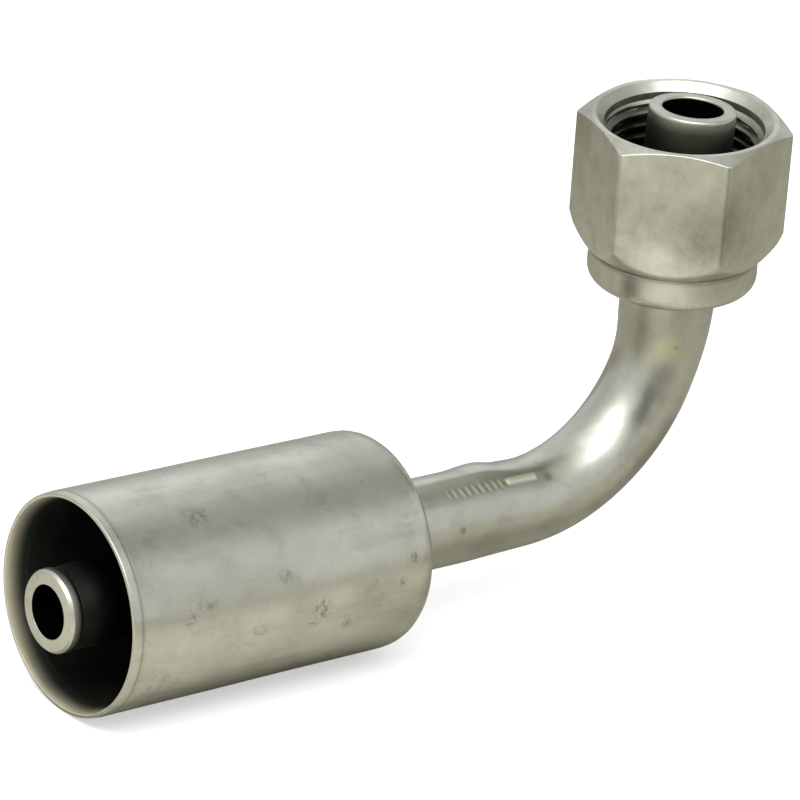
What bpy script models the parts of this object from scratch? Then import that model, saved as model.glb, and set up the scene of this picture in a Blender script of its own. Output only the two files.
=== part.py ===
"""Right-angle crimp hose fitting with a swivel nut, built in Blender. Metres, +Z up.

The ferrule and its stem lie along X with the open mouth towards -X. A bent tube turns
upwards, and the seal nose and the swivel nut stand on a vertical axis at the +X end.
"""
import bpy
import bmesh
import math
from mathutils import Matrix

# ---------------------------------------------------------------- driving dimensions
MM = 0.001

NUT_AXIS_X = 45.17 * MM        # vertical axis of the seal nose and the nut
STEM_AXIS_Z = 15.55 * MM       # height of the ferrule axis above the lowest point

TUBE_R = 6.35 * MM             # half-inch tube
TUBE_BORE_R = 4.85 * MM
BEND_R = 24.6 * MM             # centre-line radius of the bend
TUBE_END_Z = 55.60 * MM        # where the tube stops inside the seal nose
JOINT_X = -2.50 * MM           # butt joint between the stem and the tube

FERRULE_R = 15.55 * MM
FERRULE_BORE_R = 14.10 * MM
FERRULE_LIP_R = 14.95 * MM     # thinned lip at the mouth
FERRULE_LENGTH = 51.70 * MM
FERRULE_CORNER_R = 3.60 * MM
FERRULE_BASE = 1.90 * MM       # thickness of the closed end
FERRULE_REAR_X = -5.40 * MM    # outer face of the closed end
FERRULE_LIP_EDGE = 0.20 * MM   # rounding of the lip
FERRULE_LIP_TAPER = 3.20 * MM  # length over which the wall thins towards the mouth

STEM_TIP_X = -60.33 * MM
STEM_R = 5.97 * MM             # crests of the hose barbs
STEM_ROOT_R = 5.30 * MM
STEM_BORE_R = 3.85 * MM
STEM_SHANK_R = 6.60 * MM
STEM_GROOVE_R = 5.45 * MM      # groove that keeps the ferrule captive
STEM_LOCK_R = 7.40 * MM
STEM_LOCK_LENGTH = 2.2 * MM
GROOVE_PLAY = 0.25 * MM        # free play of the ferrule in its groove
BARB_PITCH = 5.20 * MM
BARB_COUNT = 8
SPIGOT_R = 4.80 * MM
SPIGOT_LENGTH = 8.0 * MM
WELD_GAP = 0.05 * MM           # clearance between pieces that touch

NOSE_R = 6.45 * MM             # pilot that enters the mating port
NOSE_BORE_R = 4.40 * MM
NOSE_TOP_Z = 72.60 * MM
NOSE_EDGE_R = 0.35 * MM
FLANGE_R = 8.80 * MM
FLANGE_EDGE = 0.50 * MM        # chamfer round the flange
FLANGE_LOW_Z = 52.60 * MM
FLANGE_HIGH_Z = 56.60 * MM
SOCKET_R = 6.40 * MM
SOCKET_TOP_Z = 55.70 * MM

ORING_SECTION_R = 0.89 * MM
ORING_CENTRE_R = 7.39 * MM

NUT_TOP_Z = 71.55 * MM
NUT_HEIGHT = 25.0 * MM
NUT_FLATS = 27.0 * MM          # across flats
NUT_TURN_DEG = 13.6            # one hexagon corner at rest, from +X
COLLAR_R = 12.25 * MM
COLLAR_HEIGHT = 4.90 * MM
COLLAR_CORNER_R = 1.60 * MM
LOW_CHAMFER_DEG = 53.0         # chamfer of the hexagon next to the collar, from horizontal
TOP_CHAMFER_DEG = 21.0         # chamfer of the hexagon at the mouth, from horizontal
NUT_HOLE_R = 6.95 * MM
NUT_SHOULDER_Z = 51.30 * MM    # inner shoulder that pulls on the thrust washer
NUT_RELIEF_R = 11.20 * MM
THREAD_MINOR_R = 10.15 * MM
THREAD_DEPTH = 14.0 * MM
MOUTH_R = 12.70 * MM           # outer edge of the entry chamfer
MOUTH_DEPTH = 1.90 * MM

WASHER_LOW_Z = 51.35 * MM
WASHER_HIGH_Z = 52.50 * MM
WASHER_R = 10.40 * MM
WASHER_HOLE_R = 7.40 * MM
WASHER_EDGE = 0.15 * MM
WASHER_PLAY = 0.20 * MM        # radial play of the washer inside the nut

MERGE = 0.000001               # weld distance
OVERSHOOT = 10 * MM            # how far cutters run past the piece they cut
FINE = 64                      # steps round the ferrule and the nut
MEDIUM = 40                    # steps round the smaller turned pieces
TUBE_BEVEL = 14                # 32 sides
BEND_STEPS = 14

# ---------------------------------------------------------------- empty scene
for existing in list(bpy.data.objects):
    bpy.data.objects.remove(existing, do_unlink=True)

PARTS = bpy.data.collections.new("crimp_elbow_fitting")
CUTTERS = bpy.data.collections.new("cutters")
bpy.context.scene.collection.children.link(PARTS)
bpy.context.scene.collection.children.link(CUTTERS)


def material(name, colour, metallic, roughness):
    mat = bpy.data.materials.new(name)
    mat.use_nodes = True
    shader = mat.node_tree.nodes["Principled BSDF"]
    shader.inputs["Base Color"].default_value = (*colour, 1.0)
    shader.inputs["Metallic"].default_value = metallic
    shader.inputs["Roughness"].default_value = roughness
    return mat


MATERIALS = {
    "ferrule": material("ferrule_steel", (0.62, 0.61, 0.56), 1.0, 0.42),
    "hose_stem": material("stem_steel", (0.55, 0.54, 0.50), 1.0, 0.38),
    "bent_tube": material("tube_steel", (0.60, 0.59, 0.52), 1.0, 0.36),
    "stem_braze_ring": material("stem_braze", (0.60, 0.56, 0.42), 1.0, 0.45),
    "nose_braze_ring": material("nose_braze", (0.62, 0.57, 0.40), 1.0, 0.45),
    "seal_nose": material("nose_steel", (0.58, 0.57, 0.52), 1.0, 0.34),
    "seal_ring": material("seal_rubber", (0.02, 0.02, 0.02), 0.0, 0.55),
    "thrust_washer": material("washer_steel", (0.50, 0.50, 0.48), 1.0, 0.35),
    "swivel_nut": material("nut_steel", (0.60, 0.59, 0.53), 1.0, 0.40),
}


# ---------------------------------------------------------------- helpers
def profile_mesh(name, points):
    """Closed outline in the XZ plane: x is the radius, z the distance along the axis."""
    mesh = bpy.data.meshes.new(name)
    verts = [(r, 0.0, z) for r, z in points]
    edges = [(i, (i + 1) % len(verts)) for i in range(len(verts))]
    mesh.from_pydata(verts, edges, [])
    return mesh


def turned(name, points, steps, place):
    """Turn a closed outline about local Z. place puts the local axis in the assembly."""
    obj = bpy.data.objects.new(name, profile_mesh(name, points))
    PARTS.objects.link(obj)
    obj.matrix_world = place
    screw = obj.modifiers.new("turn", "SCREW")
    screw.axis = "Z"
    screw.angle = math.tau
    screw.steps = steps
    screw.render_steps = steps
    screw.use_merge_vertices = True
    screw.merge_threshold = MERGE
    screw.use_smooth_shade = True
    obj.data.materials.append(MATERIALS[name])
    return obj


def apply_modifiers(obj):
    """Replace the modifier stack with its result and mark the sharp edges."""
    graph = bpy.context.evaluated_depsgraph_get()
    graph.update()
    result = bpy.data.meshes.new_from_object(obj.evaluated_get(graph))
    obj.modifiers.clear()
    obj.data = result
    result.name = obj.name
    shade(obj)


def shade(obj, degrees=32.0):
    for polygon in obj.data.polygons:
        polygon.use_smooth = True
    obj.data.set_sharp_from_angle(angle=math.radians(degrees))


def arc(centre_r, centre_z, radius, start, end, count):
    """Points on a quarter or part circle, angles in degrees from the +r direction."""
    points = []
    for i in range(count + 1):
        a = math.radians(start + (end - start) * i / count)
        points.append((centre_r + radius * math.cos(a), centre_z + radius * math.sin(a)))
    return points


def along_x(x):
    """Local +Z points to -X, local +X points up, origin on the stem axis."""
    return Matrix.Translation((x, 0.0, STEM_AXIS_Z)) @ Matrix.Rotation(-math.pi / 2, 4, "Y")


def upright(z, turn=0.0):
    spin = Matrix.Rotation(math.radians(turn), 4, "Z")
    return Matrix.Translation((NUT_AXIS_X, 0.0, z)) @ spin


# ---------------------------------------------------------------- ferrule
def build_ferrule():
    """Drawn cup: thinned lip at the mouth, rounded closed end with a centre hole."""
    length = FERRULE_LENGTH
    corner = FERRULE_CORNER_R
    inner = corner - (FERRULE_R - FERRULE_BORE_R)
    hole = STEM_GROOVE_R + GROOVE_PLAY
    lip = FERRULE_LIP_EDGE
    points = []
    points += arc(FERRULE_R - lip, length - lip, lip, 90, 0, 2)
    points += arc(FERRULE_R - corner, corner, corner, 0, -90, 6)
    points += [(hole + 0.2 * MM, 0.0), (hole, 0.2 * MM)]
    points += [(hole, FERRULE_BASE)]
    points += arc(FERRULE_BORE_R - inner, FERRULE_BASE + inner, inner, -90, 0, 3)
    points += [(FERRULE_BORE_R, length - FERRULE_LIP_TAPER)]
    points += [(FERRULE_LIP_R - 0.25 * MM, length - 0.9 * MM)]
    points += [(FERRULE_LIP_R, length)]
    obj = turned("ferrule", points, FINE, along_x(FERRULE_REAR_X))
    apply_modifiers(obj)


# ---------------------------------------------------------------- hose stem
def build_stem():
    """Hose stem: barbs for the hose, lock collar and groove for the ferrule, plain shank."""
    def s(x):
        return JOINT_X - x

    tip = s(STEM_TIP_X)
    rear = s(FERRULE_REAR_X)
    groove_low = rear - GROOVE_PLAY
    groove_high = rear + FERRULE_BASE + GROOVE_PLAY
    outer = []
    outer += [(STEM_BORE_R + 0.15 * MM, tip), (STEM_R - 0.30 * MM, tip)]
    outer += [(STEM_R - 0.06 * MM, tip - 0.15 * MM), (STEM_R, tip - 0.45 * MM)]
    outer += [(STEM_R, tip - 1.5 * MM), (STEM_ROOT_R, tip - 1.9 * MM)]
    start = tip - 3.1 * MM
    for i in range(BARB_COUNT):
        top = start - i * BARB_PITCH
        outer += [(STEM_ROOT_R, top), (STEM_R, top - BARB_PITCH + 0.5 * MM)]
    collar_high = groove_high + STEM_LOCK_LENGTH
    outer += [(STEM_ROOT_R, collar_high + 0.9 * MM)]
    outer += [(STEM_LOCK_R - 0.3 * MM, collar_high), (STEM_LOCK_R, collar_high - 0.3 * MM)]
    outer += [(STEM_LOCK_R, groove_high), (STEM_GROOVE_R, groove_high)]
    outer += [(STEM_GROOVE_R, groove_low), (STEM_SHANK_R - 0.15 * MM, groove_low)]
    outer += [(STEM_SHANK_R, groove_low - 0.15 * MM), (STEM_SHANK_R, 0.75 * MM)]
    outer += [(STEM_SHANK_R - 0.70 * MM, WELD_GAP), (SPIGOT_R, WELD_GAP)]
    outer += [(SPIGOT_R, 0.3 * MM - SPIGOT_LENGTH), (SPIGOT_R - 0.3 * MM, -SPIGOT_LENGTH)]
    inner = [(STEM_BORE_R, -SPIGOT_LENGTH), (STEM_BORE_R, tip - 0.15 * MM)]
    obj = turned("hose_stem", outer + inner, MEDIUM, along_x(JOINT_X))
    apply_modifiers(obj)


# ---------------------------------------------------------------- bent tube
def tube_body(name, radius, start_x, end_z):
    """Solid rod along the tube's centre line: straight, quarter bend, straight."""
    curve = bpy.data.curves.new(name, "CURVE")
    curve.dimensions = "3D"
    curve.bevel_depth = radius
    curve.bevel_resolution = TUBE_BEVEL
    curve.use_fill_caps = True
    centre_x = NUT_AXIS_X - BEND_R
    centre_z = STEM_AXIS_Z + BEND_R
    path = [(start_x, 0.0, STEM_AXIS_Z)]
    for i in range(BEND_STEPS + 1):
        a = math.radians(-90 + 90 * i / BEND_STEPS)
        path.append((centre_x + BEND_R * math.cos(a), 0.0, centre_z + BEND_R * math.sin(a)))
    path.append((NUT_AXIS_X, 0.0, end_z))
    spline = curve.splines.new("POLY")
    spline.points.add(len(path) - 1)
    for point, place in zip(spline.points, path):
        point.co = (*place, 1.0)
    holder = bpy.data.objects.new(name + "_curve", curve)
    CUTTERS.objects.link(holder)
    graph = bpy.context.evaluated_depsgraph_get()
    graph.update()
    mesh = bpy.data.meshes.new_from_object(holder.evaluated_get(graph))
    mesh.transform(holder.matrix_world)
    bpy.data.objects.remove(holder, do_unlink=True)
    work = bmesh.new()
    work.from_mesh(mesh)
    bmesh.ops.remove_doubles(work, verts=work.verts, dist=MERGE)
    bmesh.ops.recalc_face_normals(work, faces=work.faces)
    work.to_mesh(mesh)
    work.free()
    mesh.name = name
    return mesh


def build_tube():
    outer = bpy.data.objects.new("bent_tube", tube_body("bent_tube", TUBE_R, JOINT_X, TUBE_END_Z))
    PARTS.objects.link(outer)
    outer.data.materials.append(MATERIALS["bent_tube"])
    bore_mesh = tube_body("tube_bore", TUBE_BORE_R, JOINT_X - OVERSHOOT, TUBE_END_Z + OVERSHOOT)
    bore = bpy.data.objects.new("tube_bore", bore_mesh)
    CUTTERS.objects.link(bore)
    bore.hide_render = True
    bore.display_type = "WIRE"
    cut = outer.modifiers.new("bore", "BOOLEAN")
    cut.operation = "DIFFERENCE"
    cut.solver = "EXACT"
    cut.object = bore
    apply_modifiers(outer)


# ---------------------------------------------------------------- braze fillets
def build_braze_rings():
    """Two small rings of filler: one in the stem's butt joint, one under the flange."""
    ring = [(STEM_SHANK_R - 0.02 * MM, 0.60 * MM), (STEM_SHANK_R + 0.02 * MM, 0.42 * MM)]
    ring += [(STEM_SHANK_R + 0.02 * MM, 0.20 * MM), (TUBE_R + 0.12 * MM, -0.30 * MM)]
    ring += [(TUBE_R + WELD_GAP, -0.45 * MM), (TUBE_R + WELD_GAP, 0.48 * MM)]
    obj = turned("stem_braze_ring", ring, MEDIUM, along_x(JOINT_X))
    apply_modifiers(obj)
    high = FLANGE_LOW_Z - 0.04 * MM
    low = high - 0.70 * MM
    fillet = [(TUBE_R + 0.70 * MM, high)]
    fillet += [(TUBE_R + 0.30 * MM, high - 0.22 * MM), (TUBE_R + 0.12 * MM, low)]
    fillet += [(TUBE_R + WELD_GAP, low), (TUBE_R + WELD_GAP, high)]
    points = [(r, z - FLANGE_LOW_Z) for r, z in fillet]
    obj = turned("nose_braze_ring", points, MEDIUM, upright(FLANGE_LOW_Z))
    apply_modifiers(obj)


# ---------------------------------------------------------------- seal nose and seal
def build_nose():
    """Machined nose on the tube's end: flange behind, long pilot in front."""
    edge = NOSE_EDGE_R
    top = NOSE_TOP_Z - FLANGE_LOW_Z
    high = FLANGE_HIGH_Z - FLANGE_LOW_Z
    points = arc(NOSE_R - edge, top - edge, edge, 90, 0, 2)
    points += [(NOSE_R, high), (FLANGE_R - FLANGE_EDGE, high), (FLANGE_R, high - FLANGE_EDGE)]
    points += [(FLANGE_R, FLANGE_EDGE), (FLANGE_R - FLANGE_EDGE, 0.0), (SOCKET_R, 0.0)]
    points += [(SOCKET_R, SOCKET_TOP_Z - FLANGE_LOW_Z), (NOSE_BORE_R, SOCKET_TOP_Z - FLANGE_LOW_Z)]
    points += [(NOSE_BORE_R, top - 0.25 * MM), (NOSE_BORE_R + 0.25 * MM, top)]
    obj = turned("seal_nose", points, MEDIUM, upright(FLANGE_LOW_Z))
    apply_modifiers(obj)


def build_seal_ring():
    """Rubber ring that sits on the pilot against the flange."""
    centre = FLANGE_HIGH_Z + ORING_SECTION_R + 0.04 * MM
    points = arc(ORING_CENTRE_R, 0.0, ORING_SECTION_R, 0, -330, 11)
    obj = turned("seal_ring", points, MEDIUM, upright(centre))
    apply_modifiers(obj)


# ---------------------------------------------------------------- nut
def build_washer():
    edge = WASHER_EDGE
    high = WASHER_HIGH_Z - WASHER_LOW_Z
    points = [(WASHER_HOLE_R + edge, high), (WASHER_R - edge, high), (WASHER_R, high - edge)]
    points += [(WASHER_R, edge), (WASHER_R - edge, 0.0), (WASHER_HOLE_R + edge, 0.0)]
    points += [(WASHER_HOLE_R, edge), (WASHER_HOLE_R, high - edge)]
    obj = turned("thrust_washer", points, MEDIUM, upright(WASHER_LOW_Z))
    apply_modifiers(obj)


def build_nut():
    """Hexagon nut with a round collar behind it, chamfered corners and a stepped bore."""
    corner_r = NUT_FLATS / math.sqrt(3.0)
    blank_r = corner_r + 0.6 * MM
    bottom_slope = math.tan(math.radians(LOW_CHAMFER_DEG))
    top_slope = math.tan(math.radians(TOP_CHAMFER_DEG))
    face_r = NUT_FLATS / 2 - 0.10 * MM
    low = COLLAR_HEIGHT
    shoulder = NUT_SHOULDER_Z - (NUT_TOP_Z - NUT_HEIGHT)
    points = [(MOUTH_R, NUT_HEIGHT), (face_r, NUT_HEIGHT)]
    points += [(blank_r, NUT_HEIGHT - (blank_r - face_r) * top_slope)]
    points += [(blank_r, low + (blank_r - COLLAR_R + 0.15 * MM) * bottom_slope)]
    points += [(COLLAR_R - 0.15 * MM, low), (COLLAR_R, low - 0.15 * MM)]
    points += arc(COLLAR_R - COLLAR_CORNER_R, COLLAR_CORNER_R, COLLAR_CORNER_R, 0, -90, 5)
    points += [(NUT_HOLE_R + 0.3 * MM, 0.0), (NUT_HOLE_R, 0.3 * MM)]
    points += [(NUT_HOLE_R, shoulder), (WASHER_R + WASHER_PLAY, shoulder)]
    points += [(WASHER_R + WASHER_PLAY, shoulder + 2.0 * MM)]
    points += [(NUT_RELIEF_R, shoulder + 2.5 * MM)]
    thread_low = NUT_HEIGHT - THREAD_DEPTH
    points += [(NUT_RELIEF_R, thread_low - 1.0 * MM), (THREAD_MINOR_R, thread_low)]
    points += [(THREAD_MINOR_R, NUT_HEIGHT - MOUTH_DEPTH - 0.7 * MM)]
    points += [(NUT_RELIEF_R - 0.3 * MM, NUT_HEIGHT - MOUTH_DEPTH)]
    place = upright(NUT_TOP_Z - NUT_HEIGHT, NUT_TURN_DEG)
    obj = turned("swivel_nut", points, FINE, place)
    prism = bpy.data.meshes.new("hexagon")
    work = bmesh.new()
    ring = []
    for z in (-OVERSHOOT, NUT_HEIGHT + OVERSHOOT):
        layer = []
        for k in range(6):
            a = math.radians(60 * k)
            layer.append(work.verts.new((corner_r * math.cos(a), corner_r * math.sin(a), z)))
        ring.append(layer)
    work.faces.new(list(reversed(ring[0])))
    work.faces.new(ring[1])
    for k in range(6):
        n = (k + 1) % 6
        work.faces.new((ring[0][k], ring[0][n], ring[1][n], ring[1][k]))
    work.to_mesh(prism)
    work.free()
    tool = bpy.data.objects.new("nut_hexagon", prism)
    CUTTERS.objects.link(tool)
    tool.matrix_world = place
    tool.hide_render = True
    tool.display_type = "WIRE"
    cut = obj.modifiers.new("hexagon", "BOOLEAN")
    cut.operation = "INTERSECT"
    cut.solver = "EXACT"
    cut.object = tool
    apply_modifiers(obj)


build_ferrule()
build_stem()
build_tube()
build_braze_rings()
build_nose()
build_seal_ring()
build_washer()
build_nut()
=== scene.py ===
"""Looks of the right-angle crimp hose fitting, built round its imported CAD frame.

Metres, +Z up, in the CAD frame. Shapes and places are written in millimetres and scaled to
metres where they reach Blender, through MM. Every piece is a ring-shaped grid: a closed outline
carried once round an axis or along a path.
"""
import bpy
import math
import numpy as np
from mathutils import Matrix, Vector


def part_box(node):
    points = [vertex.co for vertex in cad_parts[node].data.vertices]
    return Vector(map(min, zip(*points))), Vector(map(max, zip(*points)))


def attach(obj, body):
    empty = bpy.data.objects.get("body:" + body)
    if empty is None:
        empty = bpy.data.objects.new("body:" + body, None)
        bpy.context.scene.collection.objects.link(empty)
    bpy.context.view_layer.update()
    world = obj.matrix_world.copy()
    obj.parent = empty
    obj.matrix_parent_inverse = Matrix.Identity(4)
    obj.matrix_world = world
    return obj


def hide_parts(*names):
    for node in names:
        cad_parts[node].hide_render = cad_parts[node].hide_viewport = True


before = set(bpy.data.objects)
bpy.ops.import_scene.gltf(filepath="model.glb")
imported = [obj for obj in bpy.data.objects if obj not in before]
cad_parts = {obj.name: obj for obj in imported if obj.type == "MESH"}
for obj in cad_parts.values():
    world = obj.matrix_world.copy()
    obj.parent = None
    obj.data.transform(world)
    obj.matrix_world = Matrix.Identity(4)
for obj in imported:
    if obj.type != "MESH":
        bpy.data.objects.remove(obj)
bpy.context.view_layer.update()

MM = 0.001
TAU = math.tau

# ---------------------------------------------------------------- places from the CAD frame
ferrule_low, ferrule_high = [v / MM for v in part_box("ferrule")]
stem_low, _ = [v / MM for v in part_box("hose_stem")]
nose_low, nose_high = [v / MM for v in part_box("seal_nose")]
nut_low, nut_high = [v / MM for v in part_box("swivel_nut")]
washer_low, washer_high = [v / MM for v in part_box("thrust_washer")]
seal_low, seal_high = [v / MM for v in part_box("seal_ring")]
joint_low, joint_high = [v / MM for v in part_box("stem_braze_ring")]
braze_low, braze_high = [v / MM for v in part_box("nose_braze_ring")]
tube_low, tube_high = [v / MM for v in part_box("bent_tube")]

STEM_Z = (ferrule_low.z + ferrule_high.z) / 2
FERRULE_R = (ferrule_high.z - ferrule_low.z) / 2
MOUTH_X = ferrule_low.x
REAR_X = ferrule_high.x
TIP_X = stem_low.x
JOINT_X = tube_low.x
NUT_X = (nose_low.x + nose_high.x) / 2
NOSE_TOP = nose_high.z
NUT_BASE = nut_low.z
NUT_HEIGHT = nut_high.z - nut_low.z
TUBE_R = 6.35                  # half-inch tube
BEND_R = 24.6                  # centre line of the bend

# ---------------------------------------------------------------- outlines and ring meshes
FILLET_PARTS = 6               # segments round each fillet
LEAST_FILLET = 0.02            # a smaller reach stays a sharp corner
LEAST_RUN = 0.12               # a shorter straight run gets no points of its own
EDGE_HOLD = 0.05               # first and last points of a run keep this far from its fillets


def outline(corners, step=0.8):
    """Closed outline from (a, b, fillet) corners, or (a, b, fillet, step of the run after it)."""
    count = len(corners)
    cuts = []
    for i, corner in enumerate(corners):
        here = np.array(corner[:2], float)
        before = np.array(corners[i - 1][:2], float) - here
        after = np.array(corners[(i + 1) % count][:2], float) - here
        len_b = np.linalg.norm(before)
        len_a = np.linalg.norm(after)
        fillet = corner[2]
        cosine = np.clip(before @ after / (len_b * len_a), -0.9999, 0.9999)
        reach = fillet / math.tan(math.acos(cosine) / 2) if fillet else 0.0
        reach = min(reach, 0.48 * len_b, 0.48 * len_a)
        start = here + before / len_b * reach
        end = here + after / len_a * reach
        cuts.append((start, here, end, FILLET_PARTS if reach > LEAST_FILLET else 0))
    points = []
    for i, (start, here, end, parts) in enumerate(cuts):
        if parts:
            for k in range(parts + 1):
                t = k / parts
                points.append((1 - t) ** 2 * start + 2 * t * (1 - t) * here + t * t * end)
        else:
            points.append(here)
        last = points[-1]
        next_start, next_corner, _, next_parts = cuts[(i + 1) % count]
        target = next_start if next_parts else next_corner
        run = np.linalg.norm(target - last)
        size = corners[i][3] if len(corners[i]) > 3 else step
        hold = min(EDGE_HOLD, run / 4)
        if run > LEAST_RUN:
            pieces = max(1, int(round((run - 2 * hold) / size)))
            for k in range(pieces + 1):
                t = (hold + (run - 2 * hold) * k / pieces) / run
                points.append(last + (target - last) * t)
    return np.array(points)


def ring_piece(name, grid, body, node, material, sharp=35.0):
    """Makes one piece from a grid (rows, columns, 3) in mm that wraps both ways."""
    rows, columns = grid.shape[:2]
    index = np.arange(rows * columns).reshape(rows, columns)
    next_row = np.roll(index, -1, 0)
    a, b = index.ravel(), np.roll(index, -1, 1).ravel()
    c, d = np.roll(next_row, -1, 1).ravel(), next_row.ravel()
    points = grid.reshape(-1, 3) * MM
    middle = points.mean(0)
    pa, pb, pc, pd = [points[i] - middle for i in (a, b, c, d)]
    volume = (np.cross(pa, pb) * pc).sum() + (np.cross(pa, pc) * pd).sum()
    faces = np.stack([a, b, c, d] if volume > 0 else [d, c, b, a], 1)
    mesh = bpy.data.meshes.new(name)
    mesh.from_pydata(points.tolist(), [], faces.tolist())
    mesh.polygons.foreach_set("use_smooth", [True] * len(faces))
    mesh.set_sharp_from_angle(angle=math.radians(sharp))
    mesh.materials.append(material)
    mesh.update()
    piece = bpy.data.objects.new(name, mesh)
    bpy.context.scene.collection.objects.link(piece)
    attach(piece, body)
    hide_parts(node)
    return piece


def waves(a, x, seed, size):
    """Smooth shallow unevenness from a few crossing waves, for angle a and distance x."""
    total = 0.0
    for k in range(5):
        turns = 2 + (seed * 3 + k * 2) % 5
        rate = (0.11 + 0.07 * ((seed + 3 * k) % 4)) * (-1) ** k
        total = total + np.sin(turns * a + rate * x + 1.7 * seed + 2.3 * k) / (k + 2)
    return size * total


def even_angles(columns):
    """Angles of that many columns, evenly all round."""
    return np.arange(columns) * TAU / columns


def about_x(profile, columns, change=None):
    """Outline (x, r) carried round the stem axis. Angle 0 is +Z, a quarter turn is -Y."""
    a = even_angles(columns)
    x = np.repeat(profile[:, :1], columns, 1)
    r = np.repeat(profile[:, 1:], columns, 1)
    if change:
        x, r = change(x, r, a[None, :])
    return np.stack([x, -r * np.sin(a), STEM_Z + r * np.cos(a)], 2)


def about_z(profile, angles, change=None):
    """Outline (r, z) carried round the nut axis. Angle 0 is +X."""
    r = np.repeat(profile[:, :1], len(angles), 1)
    z = np.repeat(profile[:, 1:], len(angles), 1)
    if change:
        r, z = change(r, z, angles[None, :])
    return np.stack([NUT_X + r * np.cos(angles), r * np.sin(angles), z], 2)


def smooth_min(a, b, k):
    """The smaller of a and b, with the crease between them rounded over about k."""
    h = np.clip(0.5 + 0.5 * (b - a) / k, 0.0, 1.0)
    return b + (a - b) * h - k * h * (1 - h)


def ramp(value, low, high):
    """0 below low, 1 above high, smooth between."""
    t = np.clip((value - low) / (high - low), 0.0, 1.0)
    return t * t * (3 - 2 * t)


# ---------------------------------------------------------------- materials
BUMP_DEPTH = 0.00002           # metres
BUMP_STRENGTH = 0.35


class Nodes:
    """Small helper that adds nodes to one material."""

    def __init__(self, name):
        self.material = bpy.data.materials.new(name)
        self.material.use_nodes = True
        self.tree = self.material.node_tree
        self.shader = self.tree.nodes["Principled BSDF"]
        self.place = self.add("ShaderNodeTexCoord").outputs["Object"]

    def add(self, kind, **settings):
        node = self.tree.nodes.new(kind)
        for key, value in settings.items():
            setattr(node, key, value)
        return node

    def feed(self, socket, value):
        if isinstance(value, bpy.types.NodeSocket):
            self.tree.links.new(value, socket)
        else:
            socket.default_value = value

    def math(self, operation, a, b, clamp=False):
        node = self.add("ShaderNodeMath", operation=operation, use_clamp=clamp)
        self.feed(node.inputs[0], a)
        self.feed(node.inputs[1], b)
        return node.outputs[0]

    def stretch(self, scale):
        """The place on the piece, scaled by a different amount along each axis."""
        node = self.add("ShaderNodeMapping")
        self.feed(node.inputs["Vector"], self.place)
        node.inputs["Scale"].default_value = scale
        return node.outputs[0]

    def noise(self, scale, detail=3.0, rough=0.5, vector=None, twist=0.0):
        node = self.add("ShaderNodeTexNoise")
        self.feed(node.inputs["Vector"], vector or self.place)
        node.inputs["Scale"].default_value = scale
        node.inputs["Detail"].default_value = detail
        node.inputs["Roughness"].default_value = rough
        node.inputs["Distortion"].default_value = twist
        return node.outputs["Fac"]

    def spread(self, value, low, high, to_low=0.0, to_high=1.0):
        """to_low below low, to_high above high, smooth between."""
        node = self.add("ShaderNodeMapRange", interpolation_type="SMOOTHSTEP")
        self.feed(node.inputs["Value"], value)
        for name, number in (("From Min", low), ("From Max", high),
                             ("To Min", to_low), ("To Max", to_high)):
            node.inputs[name].default_value = number
        return node.outputs[0]

    def rise(self, which, low, high):
        """0 below low and 1 above high, in mm along an axis."""
        return self.spread(self.axis(which), low * MM, high * MM)

    def fall(self, which, low, high):
        """1 below low and 0 above high, in mm along an axis."""
        return self.spread(self.axis(which), low * MM, high * MM, 1.0, 0.0)

    def near(self, point, radius, soft):
        """1 within radius mm of a point, falling to 0 over soft mm."""
        node = self.add("ShaderNodeVectorMath", operation="DISTANCE")
        self.feed(node.inputs[0], self.place)
        node.inputs[1].default_value = [c * MM for c in point]
        return self.spread(node.outputs["Value"], radius * MM, (radius + soft) * MM, 1.0, 0.0)

    def axis(self, which):
        node = self.add("ShaderNodeSeparateXYZ")
        self.feed(node.inputs[0], self.place)
        return node.outputs[which]

    def join(self, operation, spots, clamp=False):
        """The near() values of several spots put together by one math operation."""
        total = self.near(*spots[0])
        for spot in spots[1:]:
            total = self.math(operation, total, self.near(*spot), clamp)
        return total

    def mix(self, factor, a, b):
        node = self.add("ShaderNodeMix", data_type="RGBA", blend_type="MIX")
        self.feed(node.inputs["Factor"], factor)
        for socket, value in ((node.inputs["A"], a), (node.inputs["B"], b)):
            if isinstance(value, tuple):
                value = (*value, 1.0)
            self.feed(socket, value)
        return node.outputs["Result"]

    def wash(self, colour, where, strength, tone):
        """Lays a tone over a colour: strength is how much of it shows where `where` is 1."""
        return self.mix(self.math("MULTIPLY", where, strength), colour, tone)

    def attribute(self, name):
        return self.add("ShaderNodeAttribute", attribute_name=name).outputs["Fac"]

    def finish(self, colour, metallic, rough, height=None):
        self.feed(self.shader.inputs["Base Color"], colour)
        self.feed(self.shader.inputs["Metallic"], metallic)
        self.feed(self.shader.inputs["Roughness"], rough)
        if height is not None:
            bump = self.add("ShaderNodeBump")
            bump.inputs["Strength"].default_value = BUMP_STRENGTH
            bump.inputs["Distance"].default_value = BUMP_DEPTH
            self.feed(bump.inputs["Height"], height)
            self.feed(self.shader.inputs["Normal"], bump.outputs[0])
        return self.material


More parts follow.
